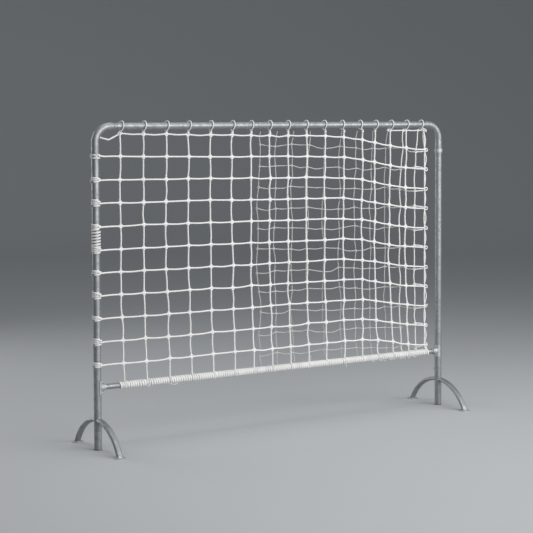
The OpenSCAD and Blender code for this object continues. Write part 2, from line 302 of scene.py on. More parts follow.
# ---------------------------------------------------------------- sizes and colours


class NetSizes(bpy.types.PropertyGroup):
    """Sizes of the cords and of their play."""

    cord: bpy.props.FloatProperty(
        name="Net cord", description="Diameter of the braided net cord", default=7.5 * MM, unit="LENGTH"
    )
    knot: bpy.props.FloatProperty(
        name="Knot", description="From a knot's middle to its corners", default=10 * MM, unit="LENGTH"
    )
    rear_cord: bpy.props.FloatProperty(
        name="Rear cord",
        description="Diameter of the worn cord of the rear layer",
        default=4.6 * MM,
        unit="LENGTH",
    )
    loop: bpy.props.FloatProperty(
        name="Loop cord", description="Diameter of the hanging loops' cord", default=5.6 * MM, unit="LENGTH"
    )
    lashing: bpy.props.FloatProperty(
        name="Lashing cord",
        description="Width of the flattened cord round the upright",
        default=7.4 * MM,
        unit="LENGTH",
    )
    rope: bpy.props.FloatProperty(
        name="Rope width",
        description="Width of the flattened rope on the bottom rail",
        default=12.5 * MM,
        unit="LENGTH",
    )
    droop: bpy.props.FloatProperty(
        name="Droop", description="How far a row hangs between two knots", default=1.6 * MM, unit="LENGTH"
    )


class FinishColours(bpy.types.PropertyGroup):
    """Colours of the finishes."""

    zinc: bpy.props.FloatVectorProperty(
        name="Galvanised tube",
        description="Dull zinc of the tubes",
        subtype="COLOR",
        size=4,
        default=linear("#A9ACAF"),
    )
    bright: bpy.props.FloatVectorProperty(
        name="Bright zinc",
        description="Zinc of fittings and screws",
        subtype="COLOR",
        size=4,
        default=linear("#C6C8CA"),
    )
    cord: bpy.props.FloatVectorProperty(
        name="Net cord",
        description="White polyester cord",
        subtype="COLOR",
        size=4,
        default=linear("#F1F1EE"),
    )
    cap: bpy.props.FloatVectorProperty(
        name="End cap",
        description="Grey polyethylene",
        subtype="COLOR",
        size=4,
        default=linear("#6E7072"),
    )


class StageSettings(bpy.types.PropertyGroup):
    """Camera and light."""

    lens: bpy.props.FloatProperty(
        name="Lens", description="Focal length in millimetres", default=102.4, min=20
    )
    power: bpy.props.FloatProperty(name="Light", description="Scale of all the lights", default=1.0, min=0)
    floor: bpy.props.FloatVectorProperty(
        name="Floor",
        description="Plain pale floor",
        subtype="COLOR",
        size=4,
        default=linear("#B9BBBD"),
    )


# ---------------------------------------------------------------- finishes


def add(tree, kind, inputs=None, **settings):
    """Adds one node: its settings, then its inputs, each a value or an output to link from."""
    made = tree.nodes.new(kind)
    for name, value in settings.items():
        setattr(made, name, value)
    for name, value in (inputs or {}).items():
        if isinstance(value, bpy.types.NodeSocket):
            tree.links.new(value, made.inputs[name])
        else:
            made.inputs[name].default_value = value
    return made


def new_finish(name):
    """An empty material, with its tree and shader."""
    finish = bpy.data.materials.get(name) or bpy.data.materials.new(name)
    finish.use_nodes = True
    tree = finish.node_tree
    tree.nodes.clear()
    shader = add(tree, "ShaderNodeBsdfPrincipled")
    add(tree, "ShaderNodeOutputMaterial", {"Surface": shader.outputs["BSDF"]})
    return finish, tree, shader


def darker(colour, share):
    """A colour scaled towards black."""
    return (*[c * share for c in colour[:3]], 1.0)


def galvanised_steel(name, colour, spangle=14 * MM, rough=(0.52, 0.64), contrast=0.78):
    """Hot-dip galvanised steel: crystals of zinc a centimetre or so across, each a slightly different grey
    and gloss, under a fine matt bloom; the eye sees a soft silver tube with a faint mottle."""
    finish, tree, shader = new_finish(name)
    place = add(tree, "ShaderNodeTexCoord").outputs["Object"]
    warp = add(tree, "ShaderNodeTexNoise", {"Vector": place, "Scale": 0.5 / spangle, "Detail": 2.0})
    shift = {0: warp.outputs["Color"], 1: (spangle, spangle, spangle)}
    bent = add(tree, "ShaderNodeVectorMath", shift, operation="MULTIPLY")
    moved = add(tree, "ShaderNodeVectorMath", {0: place, 1: bent.outputs["Vector"]}, operation="ADD")
    crystal = add(tree, "ShaderNodeTexVoronoi", {"Vector": moved.outputs["Vector"], "Scale": 1 / spangle})
    fine = {"Vector": place, "Scale": 1 / (3.5 * MM), "Detail": 5.0, "Roughness": 0.65}
    bloom = add(tree, "ShaderNodeTexNoise", fine)
    grey = add(tree, "ShaderNodeSeparateColor", {"Color": crystal.outputs["Color"]})
    mix = add(tree, "ShaderNodeMath", {0: grey.outputs["Red"], 1: bloom.outputs["Fac"]}, operation="ADD")
    spread = {"Value": mix.outputs["Value"], "From Min": 0.35, "From Max": 1.55}
    ramp = add(tree, "ShaderNodeMapRange", spread)
    tone = add(
        tree,
        "ShaderNodeMix",
        {"Factor": ramp.outputs["Result"], "A": darker(colour, contrast), "B": tuple(colour)},
        data_type="RGBA",
    )
    spread = {"Value": mix.outputs["Value"], "From Min": 0.3, "From Max": 1.6}
    gloss = add(tree, "ShaderNodeMapRange", spread | {"To Min": rough[1], "To Max": rough[0]})
    grit = {"Height": bloom.outputs["Fac"], "Strength": 0.25, "Distance": 0.25 * MM}
    bump = add(tree, "ShaderNodeBump", grit)
    tree.links.new(tone.outputs["Result"], shader.inputs["Base Color"])
    tree.links.new(gloss.outputs["Result"], shader.inputs["Roughness"])
    tree.links.new(bump.outputs["Normal"], shader.inputs["Normal"])
    shader.inputs["Metallic"].default_value = 1.0
    return finish


def turned_steel(name, colour, rough):
    """Zinc-plated or oiled steel of small parts: smooth, with fine tool marks half a millimetre apart."""
    finish, tree, shader = new_finish(name)
    place = add(tree, "ShaderNodeTexCoord").outputs["Object"]
    grain = add(tree, "ShaderNodeTexNoise", {"Vector": place, "Scale": 1 / (0.5 * MM), "Detail": 3.0})
    spread = {"Value": grain.outputs["Fac"], "To Min": rough - 0.08, "To Max": rough + 0.12}
    gloss = add(tree, "ShaderNodeMapRange", spread)
    tone = add(
        tree,
        "ShaderNodeMix",
        {"Factor": grain.outputs["Fac"], "A": darker(colour, 0.85), "B": tuple(colour)},
        data_type="RGBA",
    )
    tree.links.new(tone.outputs["Result"], shader.inputs["Base Color"])
    tree.links.new(gloss.outputs["Result"], shader.inputs["Roughness"])
    shader.inputs["Metallic"].default_value = 1.0
    return finish


def weld_metal(name, colour):
    """Weld bead under zinc: ripples about two millimetres apart, duller than the tube."""
    finish, tree, shader = new_finish(name)
    place = add(tree, "ShaderNodeTexCoord").outputs["Object"]
    ripple = add(tree, "ShaderNodeTexNoise", {"Vector": place, "Scale": 1 / (2 * MM), "Detail": 2.0})
    ridges = {"Height": ripple.outputs["Fac"], "Strength": 0.6, "Distance": 0.5 * MM}
    bump = add(tree, "ShaderNodeBump", ridges)
    tone = add(
        tree,
        "ShaderNodeMix",
        {"Factor": ripple.outputs["Fac"], "A": darker(colour, 0.7), "B": tuple(colour)},
        data_type="RGBA",
    )
    tree.links.new(tone.outputs["Result"], shader.inputs["Base Color"])
    tree.links.new(bump.outputs["Normal"], shader.inputs["Normal"])
    shader.inputs["Metallic"].default_value = 1.0
    shader.inputs["Roughness"].default_value = 0.48
    return finish


def braided_cord(name, colour, girth=20 * MM, plait=2.6 * MM, painted_seam_shade=False):
    """Braided polyester cord: strands cross in a plait, drawn a little coarser than life, with a dry, fibrous
    white. It reads the unrolled map: x is one turn of the cord, y its length in metres. On a flattened cord,
    painted shade can grey the seams between its turns, at its two thin edges."""
    finish, tree, shader = new_finish(name)
    unrolled = add(tree, "ShaderNodeUVMap", uv_map="unrolled").outputs["UV"]
    flat = add(tree, "ShaderNodeMapping", {"Vector": unrolled, "Scale": (girth, 1.0, 1.0)}).outputs["Vector"]
    strands = []
    for turn in (50, -50):
        leaned = add(tree, "ShaderNodeMapping", {"Vector": flat, "Rotation": (0, 0, math.radians(turn))})
        wave = {"Vector": leaned.outputs["Vector"], "Scale": WAVE_LENGTH / plait}
        wave |= {"Distortion": 0.3, "Detail": 1.0}
        wave = add(tree, "ShaderNodeTexWave", wave, wave_type="BANDS", bands_direction="Y")
        strands.append(wave.outputs["Fac"])
    plaited = add(tree, "ShaderNodeMath", dict(enumerate(strands)), operation="MAXIMUM")
    place = add(tree, "ShaderNodeTexCoord").outputs["Object"]
    grime = add(tree, "ShaderNodeTexNoise", {"Vector": place, "Scale": 9.0, "Detail": 4.0})
    soiled = {"Value": grime.outputs["Fac"], "From Min": 0.3, "From Max": 0.7, "To Min": 0.86}
    grime_and_painted_shade = add(tree, "ShaderNodeMapRange", soiled)
    shade = add(tree, "ShaderNodeMapRange", {"Value": plaited.outputs["Value"], "To Min": 0.72})
    both = {0: grime_and_painted_shade.outputs["Result"], 1: shade.outputs["Result"]}
    both = add(tree, "ShaderNodeMath", both, operation="MULTIPLY")
    # painted shade in the seams between the rope's turns: the cord greys towards its two thin edges
    if painted_seam_shade:
        across = add(tree, "ShaderNodeSeparateXYZ", {"Vector": unrolled}).outputs["X"]
        edge = add(tree, "ShaderNodeMath", {0: across, 1: 2 * math.pi}, operation="MULTIPLY")
        edge = add(tree, "ShaderNodeMath", {0: edge.outputs["Value"]}, operation="COSINE")
        edge = add(tree, "ShaderNodeMath", {0: edge.outputs["Value"]}, operation="ABSOLUTE")
        seam = {"Value": edge.outputs["Value"], "From Min": 0.55, "To Min": 1.0, "To Max": 0.15}
        seam = add(tree, "ShaderNodeMapRange", seam)
        both = {0: both.outputs["Value"], 1: seam.outputs["Result"]}
        both = add(tree, "ShaderNodeMath", both, operation="MULTIPLY")
    tone = add(
        tree,
        "ShaderNodeMix",
        {"Factor": both.outputs["Value"], "A": darker(colour, 0.4), "B": tuple(colour)},
        data_type="RGBA",
    )
    ridges = {"Height": plaited.outputs["Value"], "Strength": 0.5, "Distance": 0.4 * MM}
    bump = add(tree, "ShaderNodeBump", ridges)
    tree.links.new(tone.outputs["Result"], shader.inputs["Base Color"])
    tree.links.new(bump.outputs["Normal"], shader.inputs["Normal"])
    shader.inputs["Roughness"].default_value = 0.78
    shader.inputs["Sheen Weight"].default_value = 0.25
    shader.inputs["Sheen Roughness"].default_value = 0.5
    return finish


def moulded_polyethylene(name, colour):
    """Moulded polyethylene: an even grey with a faint orange peel a couple of millimetres across."""
    finish, tree, shader = new_finish(name)
    place = add(tree, "ShaderNodeTexCoord").outputs["Object"]
    peel = add(tree, "ShaderNodeTexNoise", {"Vector": place, "Scale": 1 / (2 * MM), "Detail": 2.0})
    dimples = {"Height": peel.outputs["Fac"], "Strength": 0.3, "Distance": 0.15 * MM}
    bump = add(tree, "ShaderNodeBump", dimples)
    tone = add(
        tree,
        "ShaderNodeMix",
        {"Factor": peel.outputs["Fac"], "A": darker(colour, 0.85), "B": tuple(colour)},
        data_type="RGBA",
    )
    tree.links.new(tone.outputs["Result"], shader.inputs["Base Color"])
    tree.links.new(bump.outputs["Normal"], shader.inputs["Normal"])
    shader.inputs["Roughness"].default_value = 0.55
    return finish


def net_cord_finish(context, grime_and_painted_shade=False):
    """The net cord's finish, made once; the rear layer's is the same cord, greyed as painted shade for its
    dimmer light.
    """
    name = "braided_polyester_painted_shade" if grime_and_painted_shade else "braided_polyester"
    colour = context.scene.rebounder_colours.cord
    # the rear layer's colour, scaled to 0.62 of the white, is painted shade: it stands for the dimmer light
    # behind the front net
    return bpy.data.materials.get(name) or braided_cord(name, darker(colour, 0.62) if grime_and_painted_shade else colour)


# ---------------------------------------------------------------- operators


class REBOUNDER_OT_front_net(bpy.types.Operator):
    """Knots the front net: rows, columns and their knots"""

    bl_idname = "rebounder.front_net"
    bl_label = "Front net"

    def execute(self, context):
        sizes = context.scene.rebounder_sizes
        finish = net_cord_finish(context)
        rng = np.random.default_rng(SEED)
        grid = front_knots(rng)
        radius, aside = sizes.cord / 2, (0, 1.3 * MM, 0)
        rows, columns, knots = Skein(), Skein(), Skein()
        for i in range(ROWS):
            ends = self.left_end(i, grid[i, 0], sizes)
            cord = slack(grid[i], rng, sizes.droop * (2.6 if i == 0 else 1), (0, 1.5 * MM, 0.8 * MM))
            path = through(np.concatenate([ends, cord[:-1] - aside, cord[-1:]]), CORD_STEP)
            rows.cord(path, radius * swelling(path, grid[i]), FACING)
        for j, x in enumerate(COLUMN_X):
            neck = [grid[0, j, 0] + 1 * MM, -3 * MM, NECK_Z]
            foot = [x - 1 * MM, -WRAP_R * 0.5, LOW_RAIL_Z + WRAP_R * 0.84]
            cord = slack(np.concatenate([[neck], grid[:, j], [foot]]), rng, 0, (1.9 * MM, 1.5 * MM, 0))
            path = through(cord + aside, CORD_STEP)
            columns.cord(path, radius * swelling(path, grid[:, j]), FACING)
            self.tie(columns, x, rng, sizes)
            for at in grid[:, j]:
                reach = sizes.knot * rng.uniform(0.93, 1.08)
                knot(knots, at, reach, sizes.cord * 0.88, rng.normal(0, 0.1))
        rows.piece("net_row_cords", finish, "frame", "white_net_cord", ["net_rows"])
        columns.piece("net_column_cords", finish, "frame", "white_net_cord", ["net_columns"])
        knots.piece("net_knots", finish, "frame", "white_net_cord")
        return {"FINISHED"}

    def tie(self, columns, x, rng, sizes):
        """The foot of a column: just over one slanting turn round the wound rope."""
        t = np.linspace(0, 1, 24)
        angle = math.radians(28) + 2 * math.pi * 1.2 * t
        reach = WRAP_R + sizes.cord * 0.22
        slant = x - 1 * MM + (9 + rng.uniform(-2, 3)) * MM * ease(t * 1.4)
        path = np.stack([slant, -reach * np.sin(angle), LOW_RAIL_Z + reach * np.cos(angle)], axis=1)
        columns.cord(path, sizes.cord * 0.4, (1, 0, 0))

    def left_end(self, i, first, sizes):
        """Points from the left upright to the row's first knot: a slack tail to the bend for the first row,
        the collar for the second and the lashing's front for the others."""
        if i == 0:
            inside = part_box("corner_bend_left")[0][0] + 2 * UPRIGHT_R + 7 * MM
            dip = np.array([inside + 42 * MM, -3 * MM, RAIL_Z - 62 * MM])
            tail = [
                [inside - 9 * MM, 3 * MM, RAIL_Z - 48 * MM],
                [inside + 20 * MM, -2 * MM, RAIL_Z - 57 * MM],
            ]
            rise = first + (-12 * MM, 0, -7 * MM)
            return np.concatenate([tail, [dip - (7 * MM, 0, -2 * MM), dip, dip * 0.8 + rise * 0.2, rise]])
        reach = (COLLAR_R if i == 1 else UPRIGHT_R) + sizes.cord / 2
        height = COLLAR_Z + 3 * MM if i == 1 else first[2] + 2 * MM
        start = np.array([LEFT_X + reach * 0.2, -reach * 0.98, height])
        tight = np.array([LEFT_X + reach * 1.02, -reach * 0.62, height + 0.1 * (first[2] - height) - 1 * MM])
        level = np.array([LEFT_X + reach * 1.7, -reach * 0.4, first[2] + 1 * MM])
        return np.stack([start, tight, level, (level + first) / 2 + (0, -2 * MM, 1 * MM)])


class REBOUNDER_OT_edge(bpy.types.Operator):
    """Ties the free right edge: two edge cords, an eye of cord at each row and the turn to the rear layer"""

    bl_idname = "rebounder.edge"
    bl_label = "Right edge"

    def execute(self, context):
        sizes = context.scene.rebounder_sizes
        finish = net_cord_finish(context)
        rng = np.random.default_rng(SEED + 1)
        radius = sizes.cord * EDGE_SHARE
        eye_radius, turn = 8.4 * MM, round_angles(14)
        edge, eyes = Skein(), Skein()
        head = RAIL_Z - RAIL_R - 13 * MM
        foot = LOW_RAIL_Z + WRAP_R * 0.7
        for at_eye, between, depth in ((-5, -6, -1), (-1, 8, 5)):
            knots = np.array([[EDGE_X + at_eye * MM, depth * MM, z] for z in ROW_RIGHT_Z])
            top = [EDGE_X - 10 * MM, depth * MM, head]
            low = [EDGE_X + 2 * MM, -8 * MM, foot]
            path = slack(np.concatenate([[top], knots, [low]]), rng, 0, (1.5 * MM, 1.2 * MM, 0))
            path[1::2, 0] += (between - at_eye) * MM * rng.uniform(0.6, 1.25, len(path) // 2)
            edge.cord(through(path, CORD_STEP), radius, FACING)
        fan = [
            [EDGE_X - 12 * MM, 4 * MM, head],
            [EDGE_X - 10 * MM, 6 * MM, head - 45 * MM],
            [EDGE_X, 6 * MM, ROW_RIGHT_Z[0]],
        ]
        edge.cord(through(fan, CORD_STEP), radius * 0.9, FACING)
        rear = rear_knots(np.random.default_rng(SEED + 2))
        for i, z in enumerate(ROW_RIGHT_Z):
            middle = np.array([EDGE_X + 7 * MM, 2 * MM, z + rng.uniform(-2, 2) * MM])
            lean = rng.normal(0, 0.3)
            oval = np.stack([np.cos(turn), np.sin(turn) * lean, np.sin(turn) * 0.95], axis=1)
            eyes.cord(middle + eye_radius * oval, radius * 0.9, FACING, closed=True)
            side = -1 if i % 2 == 0 else 1
            link = [
                middle + (-3 * MM, 2 * MM, side * 8 * MM),
                middle + (-14 * MM, 4 * MM, side * 8 * MM),
                rear[i, 0] + (0.018, -2 * MM, 0),
                rear[i, 0],
            ]
            eyes.cord(through(link, CORD_STEP), radius, FACING)
            tied = middle - (11 * MM, 1 * MM, 0)
            knot(eyes, tied, sizes.knot * 0.55, sizes.cord * 0.75, rng.normal(0, 0.2))
        edge.piece("net_edge_cords", finish, "frame", "white_net_cord", ["net_edge_cord"])
        eyes.piece("net_edge_eyes", finish, "frame", "white_net_cord", ["net_fold_links"])
        return {"FINISHED"}


class REBOUNDER_OT_rear_net(bpy.types.Operator):
    """Knots the spare net that is folded back behind the right half"""

    bl_idname = "rebounder.rear_net"
    bl_label = "Rear net"

    def execute(self, context):
        sizes = context.scene.rebounder_sizes
        # painted shade: the rear layer's cords take the greyed finish, for the dimmer light behind the front
        # net
        finish = net_cord_finish(context, grime_and_painted_shade=True)
        rng = np.random.default_rng(SEED + 2)
        grid = rear_knots(rng)
        radius, aside = sizes.rear_cord / 2, (0, 1.0 * MM, 0)
        unshaded_columns = 2  # columns at the free edge, in the plain white cord, without the rear layer's painted shade
        rows, columns, unshaded, knots = Skein(), Skein(), Skein(), Skein()
        for line in grid:
            path = through(slack(line, rng, 4 * MM, (0, 2 * MM, 2 * MM)) - aside, 10 * MM)
            rows.cord(path, radius, FACING)
        for k, x in enumerate(REAR_X):
            top = [x + 2 * MM, 6 * MM, NECK_Z]
            foot = [x, 8 * MM, LOW_RAIL_Z + WRAP_R]
            cord = slack(np.concatenate([[top], grid[:, k], [foot]]), rng, 0, (3 * MM, 2 * MM, 0))
            path = through(cord + aside, 10 * MM)
            if k < unshaded_columns:
                unshaded.cord(path, sizes.cord * EDGE_SHARE, FACING)
                tied, stretch, thick = unshaded, 1.25, 2.2
            else:
                columns.cord(path, radius, FACING)
                tied, stretch, thick = knots, 1, 1.6
            for at in grid[:, k]:
                reach = sizes.knot * rng.uniform(0.55, 0.7) * stretch
                knot(tied, at, reach, radius * thick, rng.normal(0, 0.2))
        self.head_line(context, rng)
        rows.piece("rear_row_cords", finish, "frame", "white_net_cord", ["rear_net_rows"])
        columns.piece("rear_column_cords", finish, "frame", "white_net_cord", ["rear_net_columns"])
        unshaded.piece("rear_edge_columns", net_cord_finish(context), "frame", "white_net_cord")
        knots.piece("rear_knots", finish, "frame", "white_net_cord")
        return {"FINISHED"}

    def head_line(self, context, rng):
        """The rear layer's head cord, level under the rail at the right, knotted to each column there."""
        sizes = context.scene.rebounder_sizes
        head = Skein()
        rear, front = REAR_X[REAR_X > 0.6], COLUMN_X[COLUMN_X > 0.65] - 18 * MM
        joins = np.sort(np.concatenate([rear, front, [EDGE_X - 12 * MM]]))
        height = NECK_Z + rng.normal(0, 1.5 * MM, len(joins))
        line = np.stack([joins, 0 * joins + 1 * MM, height], axis=1)
        path = through(slack(line, rng, 2 * MM, (0, 1 * MM, 1 * MM)), CORD_STEP)
        head.cord(path, sizes.cord * EDGE_SHARE, FACING)
        for at in line:
            knot(head, at, sizes.knot * 0.6, sizes.cord * 0.75, rng.normal(0, 0.2))
        head.piece("head_line", net_cord_finish(context), "frame", "white_net_cord")


class REBOUNDER_OT_loops(bpy.types.Operator):
    """Hangs a loop of cord over the top rail for each column"""

    bl_idname = "rebounder.loops"
    bl_label = "Hanging loops"

    def execute(self, context):
        sizes = context.scene.rebounder_sizes
        rng = np.random.default_rng(SEED + 3)
        knots = front_knots(np.random.default_rng(SEED))[0]
        radius = sizes.loop / 2
        reach = RAIL_R + radius + 1.6 * MM
        loops = Skein()
        for hook, below in zip(HOOK_X, knots):
            x = hook - (9 + 6 * hook) * MM  # pulled to the lashed side, most of all at the right
            neck = below[0] - x + 1 * MM
            angle = np.radians(np.linspace(145, -145, 11))
            over = np.stack([0 * angle, -reach * np.sin(angle), reach * np.cos(angle)], axis=1)
            over[:, 0] = rng.normal(0, 0.8 * MM) + 5 * MM * np.exp(-(((angle - 0.5) / 1.1) ** 2))
            over[:, 2] += 2.5 * MM * np.maximum(0, np.cos(angle))
            foot = np.array([[neck, -3 * MM, -RAIL_R - 16 * MM], [neck * 0.9, -4 * MM, -RAIL_R - 9 * MM]])
            back = np.array([[neck * 0.8, 2 * MM, -RAIL_R - 10 * MM]])
            path = np.concatenate([foot, over, back]) + (x, 0, RAIL_Z)
            loops.cord(through(path, 5 * MM), radius, (1, 0, 0))
            knot(loops, path[0], sizes.knot * 0.5, sizes.cord * 0.8, rng.normal(0, 0.3))
        finish = net_cord_finish(context)
        loops.piece("top_loops", finish, "frame", "white_net_cord", ["hanging_loops"])
        return {"FINISHED"}


class REBOUNDER_OT_side_lashing(bpy.types.Operator):
    """Lashes each row round the left upright, with an open spiral between two of the rows"""

    bl_idname = "rebounder.side_lashing"
    bl_label = "Side lashing"

    def execute(self, context):
        sizes = context.scene.rebounder_sizes
        rng = np.random.default_rng(SEED + 6)
        rows = front_knots(np.random.default_rng(SEED))[:, 0, 2] + 4 * MM
        radius, flat = sizes.lashing / 2, 0.45
        front = -78  # degrees from +x: just right of the upright's front
        reach = UPRIGHT_R + radius * flat + 0.1 * MM
        lashing = Skein()

        def lay(path, width=1.0):
            outwards = (path - (LEFT_X, 0, 0)) * (1, 1, 0)
            lashing.cord(path, radius * width, outwards, sides=10, flat=flat)

        for i, z in enumerate(rows[2:]):
            count = 2 + i % 2
            rise = count * sizes.lashing * 1.25
            base = z - rise * 0.5
            lay(turns_round(LEFT_X, base + rise, base, reach, count + 0.2, front))
            outside, start = reach + radius * flat * 1.7, rng.uniform(130, 175)
            slant = turns_round(LEFT_X, base, base + rise * 1.1, outside, 0.9, start)
            slant[:, 2] += rng.uniform(-1, 1) * MM
            lay(slant, 0.85)
        low, high = COLLAR_Z - 7.4 * MM, COLLAR_Z + 7.4 * MM
        round_collar = COLLAR_R + radius * flat * 0.8
        lower = turns_round(LEFT_X, low, low, round_collar, 1, front)
        crossing = turns_round(LEFT_X, low, high, round_collar, 0.12, front)
        upper = turns_round(LEFT_X, high, high, round_collar, 0.95, front - 43)
        lay(np.concatenate([lower[:-1], crossing[:-1], upper]), 0.75)
        spiral = turns_round(LEFT_X, rows[4] - 12 * MM, rows[5] + 12 * MM, reach + 0.6 * MM, 6, front)
        lay(spiral, 1.05)
        finish = net_cord_finish(context)
        lashing.piece("side_lashing_cord", finish, "frame", "white_net_cord", ["side_lashing"])
        return {"FINISHED"}


class REBOUNDER_OT_bottom_lashing(bpy.types.Operator):
    """Winds the rope on to the bottom rail and leaves its loose tails"""

    bl_idname = "rebounder.bottom_lashing"
    bl_label = "Bottom lashing"

    def execute(self, context):
        sizes = context.scene.rebounder_sizes
        rng = np.random.default_rng(SEED + 4)
        rope = Skein()
        first = WRAP_FROM + 28 * MM
        self.wind(rope, rng, sizes, WRAP_FROM + 3 * MM, first - 4 * MM, 0.6)
        self.wind(rope, rng, sizes, first, WRAP_TO, 1.0)
        colour = context.scene.rebounder_colours.cord
        finish = braided_cord("lashing_rope", colour, girth=24 * MM, plait=3 * MM, painted_seam_shade=True)
        rope.piece("bottom_rope", finish, "frame", "white_lashing_rope", ["bottom_lashing"])
        tails = Skein()
        for at, reach, drop in self.tails(rng):
            start = np.array([at, -WRAP_R * 0.5, LOW_RAIL_Z - WRAP_R * 0.8])
            points = [
                start + (-reach * 0.3, 4 * MM, 4 * MM),
                start + (0, 0, -1 * MM),
                start + (reach * 0.5, -3 * MM, -drop),
                start + (reach, -1 * MM, -drop * 0.75),
            ]
            tails.cord(through(points, 3 * MM), 1.8 * MM, FACING, sides=6)
        tails.piece("rope_tails", finish, "frame", "white_lashing_rope")
        return {"FINISHED"}

    def wind(self, rope, rng, sizes, x_from, x_to, swell):
        """Rope wound round the rail: x runs on by one pitch a turn, give or take a millimetre, and y and z go
        round a circle that swells by up to 0.8 mm, and by 2.2 mm more at the right end. swell scales both."""
        thick = (WRAP_R - LOW_RAIL_R) / 2 + 0.5 * MM
        steps = 26  # points in each turn
        turns = (x_to - x_from) / (sizes.rope * 0.98)
        t = np.linspace(0, turns, int(turns * steps))
        knots_at = np.arange(0, turns + 3, 2.5)
        uneven = np.interp(t, knots_at, rng.normal(0, 0.9 * MM, len(knots_at)))
        puff = np.interp(t, knots_at, rng.uniform(0, 0.8 * MM, len(knots_at)))
        x = x_from + t * (x_to - x_from) / turns + uneven
        ends = np.exp(-(((x - WRAP_TO) / (9 * MM)) ** 2)) * 2.2 * MM
        reach = LOW_RAIL_R + thick + (puff + ends) * swell
        angle = 2 * math.pi * t
        path = np.stack([x, -reach * np.sin(angle), LOW_RAIL_Z + reach * np.cos(angle)], axis=1)
        outwards = np.stack([0 * t, -np.sin(angle), np.cos(angle)], axis=1)
        rope.cord(path, sizes.rope / 2, outwards, sides=8, flat=2 * thick / sizes.rope)

    def tails(self, rng):
        """Place, reach and drop of each loose tail under the winding: three by themselves, then a ragged run
        of nine at the right."""
        for at, reach, drop in ((-0.63, 45, 9), (-0.75, 14, 5), (0.39, 9, 16)):
            yield at, reach * MM, drop * MM
        for at in np.linspace(0.57, 0.83, 9):
            yield at + rng.normal(0, 6 * MM), rng.uniform(9, 20) * MM, rng.uniform(4, 9) * MM


class REBOUNDER_OT_welds(bpy.types.Operator):
    """Runs the weld beads where the bows enter the posts, stand on the pads and where the collars sit"""

    bl_idname = "rebounder.welds"
    bl_label = "Weld beads"

    def execute(self, context):
        finish = weld_metal("weld_bead", context.scene.rebounder_colours.zinc)
        rng = np.random.default_rng(SEED + 5)
        for side, axis_x in (("left", LEFT_X), ("right", RIGHT_X)):
            beads = Skein()
            for way in (-1, 1):
                mouth, foot = self.bow_mouth(axis_x, way, side), self.pad_foot(axis_x, way, side)
                beads.cord(mouth, self.bead(rng, OVAL_POINTS), (0, way, 0), 6, closed=True)
                beads.cord(foot, self.bead(rng, OVAL_POINTS), (0, 0, 1), 6, closed=True)
            beads.piece(f"foot_welds_{side}", finish, f"foot_{side}", "galvanised_fittings")
            top = Skein()
            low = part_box(f"collar_{side}")[0][2]
            turn = round_angles(60)
            ring = [axis_x + UPRIGHT_R * np.cos(turn), UPRIGHT_R * np.sin(turn), 0 * turn + low]
            top.cord(np.stack(ring, axis=1), self.bead(rng, len(turn)) * 0.9, (0, 0, 1), 6, closed=True)
            top.piece(f"collar_weld_{side}", finish, "frame", "galvanised_fittings")
        return {"FINISHED"}

    def bead(self, rng, count):
        """Radius of a bead round its ring, with the small unevenness of hand welding."""
        return 1.7 * MM + rng.uniform(-0.25, 0.35, count) * MM

    def oval(self, side):
        """Outline of the bow's flat-oval section, x along the frame and t across it: a circle as wide as the
        section is thick, whose middle slides along the flat with the cosine of the turn and stops at its
        ends."""
        width = box_size(f"foot_bow_{side}")[0]
        flat = (width - BOW_THICK) / 2
        turn = round_angles(OVAL_POINTS)
        middle = np.clip(np.cos(turn) * width * 0.56, -flat, flat)
        return middle + np.cos(turn) * BOW_THICK / 2, np.sin(turn) * BOW_THICK / 2

    def arc(self, side):
        """Centre height and radius of the bow's arc, from its crown and its reach."""
        pad_low, pad_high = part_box(f"foot_pads_{side}")
        reach = (pad_high[1] - pad_low[1]) / 2 - PAD_R
        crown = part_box(f"foot_bow_{side}")[1][2] - BOW_THICK / 2
        rise = crown - pad_high[2]
        radius = (reach**2 + rise**2) / (2 * rise)
        return crown - radius, radius

    def bow_mouth(self, axis_x, way, side):
        """The section's outline thrown on to the post's round face, at the arc's height there."""
        x, t = self.oval(side)
        centre, radius = self.arc(side)
        y = np.sqrt(np.maximum(UPRIGHT_R**2 - x**2, 1e-8))
        return np.stack([axis_x + x, way * y, centre + np.sqrt((radius + t) ** 2 - y**2)], axis=1)

    def pad_foot(self, axis_x, way, side):
        """The section's outline where the arc meets the pad's upper face."""
        x, t = self.oval(side)
        centre, radius = self.arc(side)
        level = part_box(f"foot_pads_{side}")[1][2] + 0.3 * MM
        y = np.sqrt((radius + t) ** 2 - (level - centre) ** 2)
        return np.stack([axis_x + x, way * y, 0 * x + level], axis=1)


class REBOUNDER_OT_finishes(bpy.types.Operator):
    """Gives every piece of the frame its metal or plastic finish"""

    bl_idname = "rebounder.finishes"
    bl_label = "Frame finishes"

    def execute(self, context):
        colours = context.scene.rebounder_colours
        made = {
            "galvanised_tube": galvanised_steel("galvanised_tube", colours.zinc),
            "galvanised_fittings": galvanised_steel(
                "galvanised_fittings", colours.bright, spangle=9 * MM, rough=(0.6, 0.72), contrast=0.86
            ),
            "zinc_fasteners": turned_steel("zinc_plate", colours.bright, 0.36),
            "spring_steel": turned_steel("oiled_spring_steel", linear("#4A4C50"), 0.35),
            "grey_plastic": moulded_polyethylene("grey_polyethylene", colours.cap),
            "white_net_cord": net_cord_finish(context),
            "white_lashing_rope": net_cord_finish(context),
        }
        for part in frame["record"]["subparts"]:
            node = frame["nodes"][part["node"]]
            node.data.materials.clear()
            node.data.materials.append(made[part["material_slot"]])
        return {"FINISHED"}


